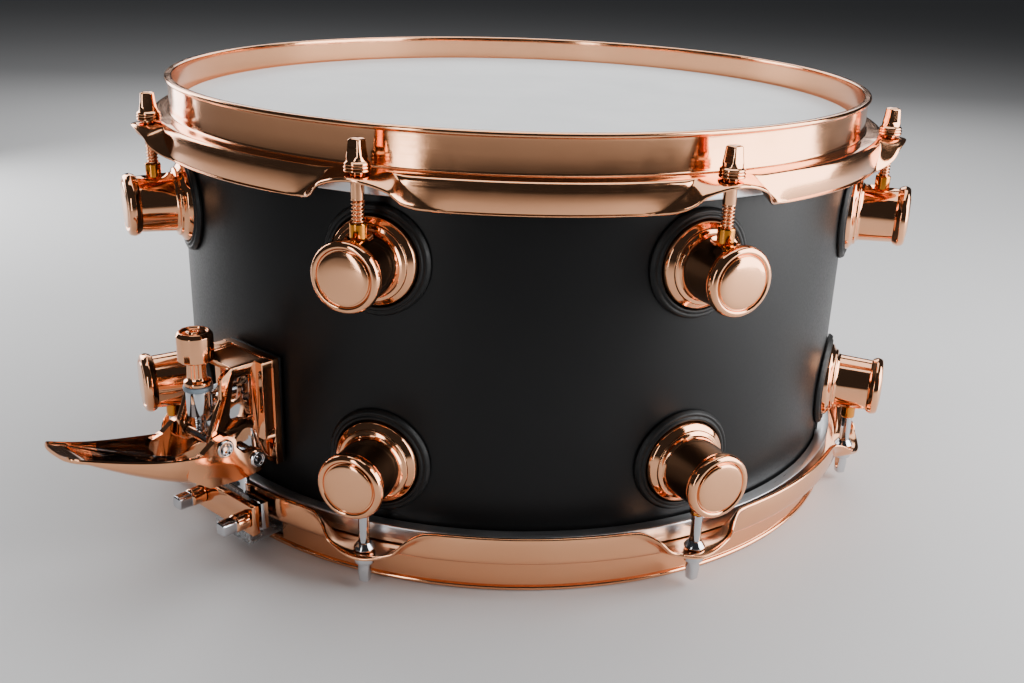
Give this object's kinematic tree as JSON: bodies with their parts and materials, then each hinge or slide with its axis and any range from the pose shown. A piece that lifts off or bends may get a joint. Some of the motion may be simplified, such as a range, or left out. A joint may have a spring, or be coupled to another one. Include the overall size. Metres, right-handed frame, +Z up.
{
  "type": "snare drum",
  "caption": "Snare drum with a satin black shell, coated head, copper-plated flanged hoops, round lugs, tension rods and a lever throw-off that lifts the snare wires.",
  "frame": {"origin": "centre of the batter head's playing surface", "axes": "+Z up, square to the batter head; -X towards the throw-off, +X towards the butt plate"},
  "size_m": [0.4932, 0.3948, 0.2065],
  "materials": {
    "copper_plate": "polished copper plate with fine brushing on the hoops",
    "brass": "plain turned brass",
    "chromed_steel": "polished chrome",
    "satin_black_shell": "satin black lacquer over a wooden shell",
    "black_rubber": "matt",
    "coated_film": "sprayed matt white coating",
    "clear_film": "hazy translucent polyester",
    "aluminium": "mill finish",
    "grey_nylon": "moulded"
  },
  "bodies": {
    "drum": {"shell": "satin_black_shell", "vent_grommet": "copper_plate", "batter_film": "coated_film", "batter_collar": "aluminium", "snare_film": "clear_film", "snare_collar": "aluminium", "batter_hoop": "copper_plate", "snare_hoop": "copper_plate", "batter_lug_1": "copper_plate", "batter_lug_2": "copper_plate", "batter_lug_3": "copper_plate", "batter_lug_4": "copper_plate", "batter_lug_5": "copper_plate", "batter_lug_6": "copper_plate", "batter_lug_7": "copper_plate", "batter_lug_8": "copper_plate", "snare_lug_1": "copper_plate", "snare_lug_2": "copper_plate", "snare_lug_3": "copper_plate", "snare_lug_4": "copper_plate", "snare_lug_5": "copper_plate", "snare_lug_6": "copper_plate", "snare_lug_7": "copper_plate", "snare_lug_8": "copper_plate", "throwoff_housing": "copper_plate", "throwoff_gasket": "black_rubber", "lever_pin": "chromed_steel", "butt_plate": "copper_plate", "butt_clamp": "copper_plate", "butt_clamp_screw_1": "chromed_steel", "butt_clamp_screw_2": "chromed_steel", "butt_strap": "clear_film"},
    "lever": {"throwoff_lever": "copper_plate", "cam_pin_1": "chromed_steel", "cam_pin_2": "chromed_steel"},
    "carriage": {"throwoff_carriage": "chromed_steel", "throwoff_clamp": "copper_plate", "throwoff_clamp_screw_1": "chromed_steel", "throwoff_clamp_screw_2": "chromed_steel", "throwoff_strap": "clear_film", "tension_washer": "grey_nylon"},
    "knob": {"tension_knob": "copper_plate", "tension_spindle": "chromed_steel"},
    "wires": {"snare_wires": "chromed_steel"},
    "batter_rod_1": {"batter_rod_1": "copper_plate"},
    "batter_rod_2": {"batter_rod_2": "copper_plate"},
    "batter_rod_3": {"batter_rod_3": "copper_plate"},
    "batter_rod_4": {"batter_rod_4": "copper_plate"},
    "batter_rod_5": {"batter_rod_5": "copper_plate"},
    "batter_rod_6": {"batter_rod_6": "copper_plate"},
    "batter_rod_7": {"batter_rod_7": "copper_plate"},
    "batter_rod_8": {"batter_rod_8": "copper_plate"},
    "snare_rod_1": {"snare_rod_1": "chromed_steel"},
    "snare_rod_2": {"snare_rod_2": "chromed_steel"},
    "snare_rod_3": {"snare_rod_3": "chromed_steel"},
    "snare_rod_4": {"snare_rod_4": "chromed_steel"},
    "snare_rod_5": {"snare_rod_5": "chromed_steel"},
    "snare_rod_6": {"snare_rod_6": "chromed_steel"},
    "snare_rod_7": {"snare_rod_7": "chromed_steel"},
    "snare_rod_8": {"snare_rod_8": "chromed_steel"}
  },
  "joints": [
    {"name": "lever_hinge", "type": "hinge", "parent": "drum", "child": "lever", "pos_m": [-0.21, 0, -0.1328], "axis": [0, 1, 0], "range_deg": [0, 60]},
    {"name": "carriage_slide", "type": "slide", "parent": "drum", "child": "carriage", "axis": [0, 0, 1], "range_m": [0, 0.005]},
    {"name": "wires_hinge", "type": "hinge", "parent": "drum", "child": "wires", "pos_m": [0.15, 0, -0.1799], "axis": [0, 1, 0], "range_deg": [0, 0.97]},
    {"name": "knob_turn", "type": "hinge", "parent": "carriage", "child": "knob", "pos_m": [-0.21, 0, -0.1], "axis": [0, 0, 1], "continuous": true},
    {"name": "batter_rod_1_turn", "type": "hinge", "parent": "drum", "child": "batter_rod_1", "pos_m": [0.17905, 0.07416, 0], "axis": [0, 0, 1], "continuous": true},
    {"name": "batter_rod_2_turn", "type": "hinge", "parent": "drum", "child": "batter_rod_2", "pos_m": [0.07416, 0.17905, 0], "axis": [0, 0, 1], "continuous": true},
    {"name": "batter_rod_3_turn", "type": "hinge", "parent": "drum", "child": "batter_rod_3", "pos_m": [-0.07416, 0.17905, 0], "axis": [0, 0, 1], "continuous": true},
    {"name": "batter_rod_4_turn", "type": "hinge", "parent": "drum", "child": "batter_rod_4", "pos_m": [-0.17905, 0.07416, 0], "axis": [0, 0, 1], "continuous": true},
    {"name": "batter_rod_5_turn", "type": "hinge", "parent": "drum", "child": "batter_rod_5", "pos_m": [-0.17905, -0.07416, 0], "axis": [0, 0, 1], "continuous": true},
    {"name": "batter_rod_6_turn", "type": "hinge", "parent": "drum", "child": "batter_rod_6", "pos_m": [-0.07416, -0.17905, 0], "axis": [0, 0, 1], "continuous": true},
    {"name": "batter_rod_7_turn", "type": "hinge", "parent": "drum", "child": "batter_rod_7", "pos_m": [0.07416, -0.17905, 0], "axis": [0, 0, 1], "continuous": true},
    {"name": "batter_rod_8_turn", "type": "hinge", "parent": "drum", "child": "batter_rod_8", "pos_m": [0.17905, -0.07416, 0], "axis": [0, 0, 1], "continuous": true},
    {"name": "snare_rod_1_turn", "type": "hinge", "parent": "drum", "child": "snare_rod_1", "pos_m": [0.17905, 0.07416, -0.1796], "axis": [0, 0, 1], "continuous": true},
    {"name": "snare_rod_2_turn", "type": "hinge", "parent": "drum", "child": "snare_rod_2", "pos_m": [0.07416, 0.17905, -0.1796], "axis": [0, 0, 1], "continuous": true},
    {"name": "snare_rod_3_turn", "type": "hinge", "parent": "drum", "child": "snare_rod_3", "pos_m": [-0.07416, 0.17905, -0.1796], "axis": [0, 0, 1], "continuous": true},
    {"name": "snare_rod_4_turn", "type": "hinge", "parent": "drum", "child": "snare_rod_4", "pos_m": [-0.17905, 0.07416, -0.1796], "axis": [0, 0, 1], "continuous": true},
    {"name": "snare_rod_5_turn", "type": "hinge", "parent": "drum", "child": "snare_rod_5", "pos_m": [-0.17905, -0.07416, -0.1796], "axis": [0, 0, 1], "continuous": true},
    {"name": "snare_rod_6_turn", "type": "hinge", "parent": "drum", "child": "snare_rod_6", "pos_m": [-0.07416, -0.17905, -0.1796], "axis": [0, 0, 1], "continuous": true},
    {"name": "snare_rod_7_turn", "type": "hinge", "parent": "drum", "child": "snare_rod_7", "pos_m": [0.07416, -0.17905, -0.1796], "axis": [0, 0, 1], "continuous": true},
    {"name": "snare_rod_8_turn", "type": "hinge", "parent": "drum", "child": "snare_rod_8", "pos_m": [0.17905, -0.07416, -0.1796], "axis": [0, 0, 1], "continuous": true}
  ],
  "couplings": [
    {"joint": "lever_hinge", "follows": "carriage_slide", "rad_per_m": 209.44},
    {"joint": "wires_hinge", "follows": "carriage_slide", "rad_per_m": 3.3335}
  ]
}
